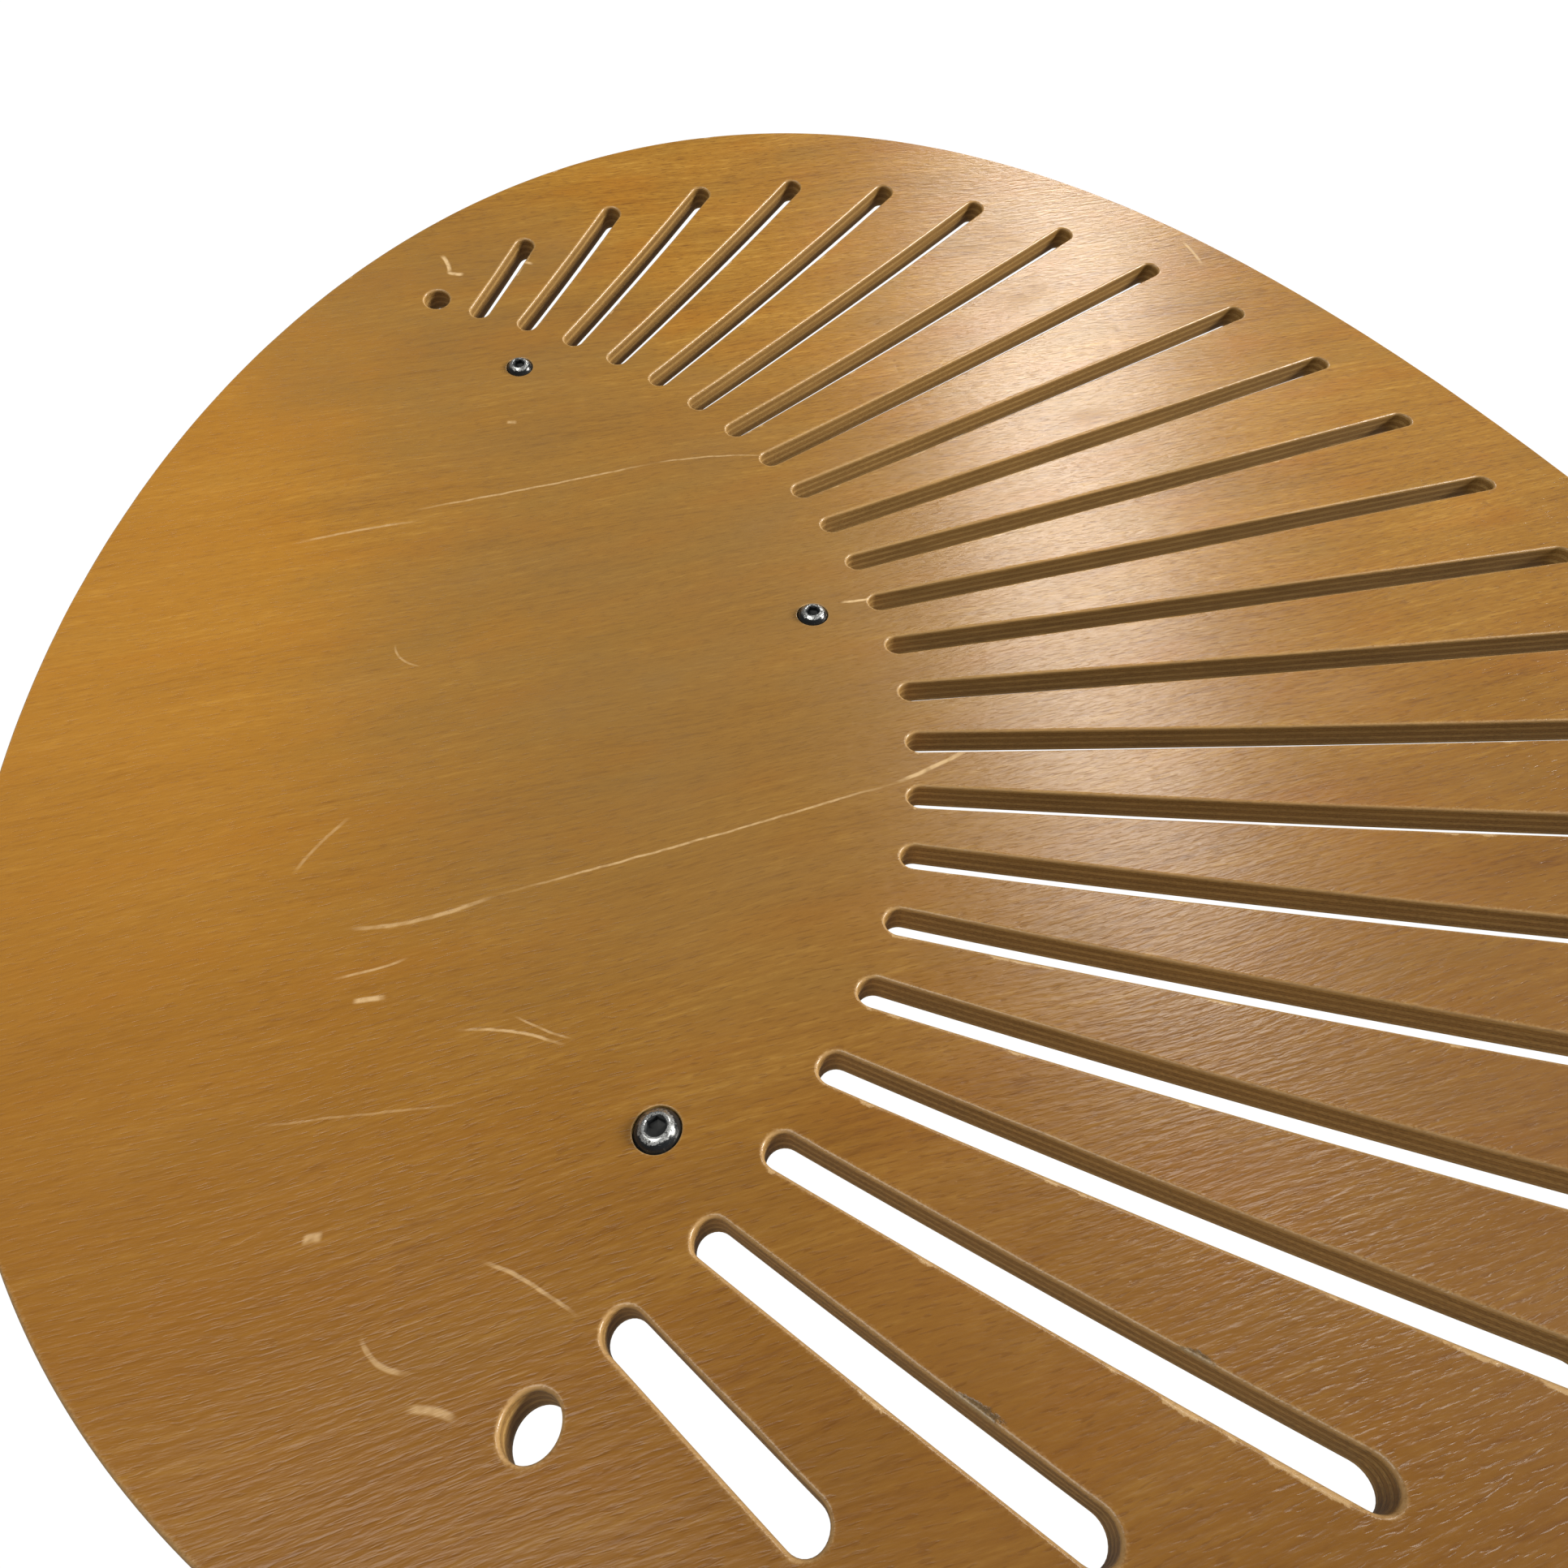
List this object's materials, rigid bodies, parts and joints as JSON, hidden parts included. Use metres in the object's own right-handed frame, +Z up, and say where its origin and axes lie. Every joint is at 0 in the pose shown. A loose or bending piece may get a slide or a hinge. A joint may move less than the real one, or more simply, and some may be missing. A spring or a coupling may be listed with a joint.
{
  "type": "slotted plywood seat panel",
  "caption": "Round, gently troughed seat panel of moulded plywood with a fan of routed slots, held by domed socket screws on nylon spacers.",
  "frame": {"origin": "on the front screw's axis, where the lower face of its spacer meets the chair frame", "axes": "+X along the trough of the bend towards the front of the seat, +Y to the sitter's left, +Z up along the front screw"},
  "size_m": [0.56, 0.554, 0.0724],
  "materials": {
    "face_veneer": "satin amber lacquer",
    "long_veneer": "lacquered edge",
    "cross_veneer": "lacquered edge",
    "black_screw": "black, worn to bare steel on the dome",
    "nylon": "matte"
  },
  "bodies": {
    "root": {"top_face_veneer": "face_veneer", "core_veneer_1": "cross_veneer", "core_veneer_2": "long_veneer", "core_veneer_3": "cross_veneer", "core_veneer_4": "long_veneer", "core_veneer_5": "cross_veneer", "bottom_face_veneer": "face_veneer", "front_screw": "black_screw", "left_screw": "black_screw", "right_screw": "black_screw", "front_spacer": "nylon", "left_spacer": "nylon", "right_spacer": "nylon"}
  },
  "joints": []
}
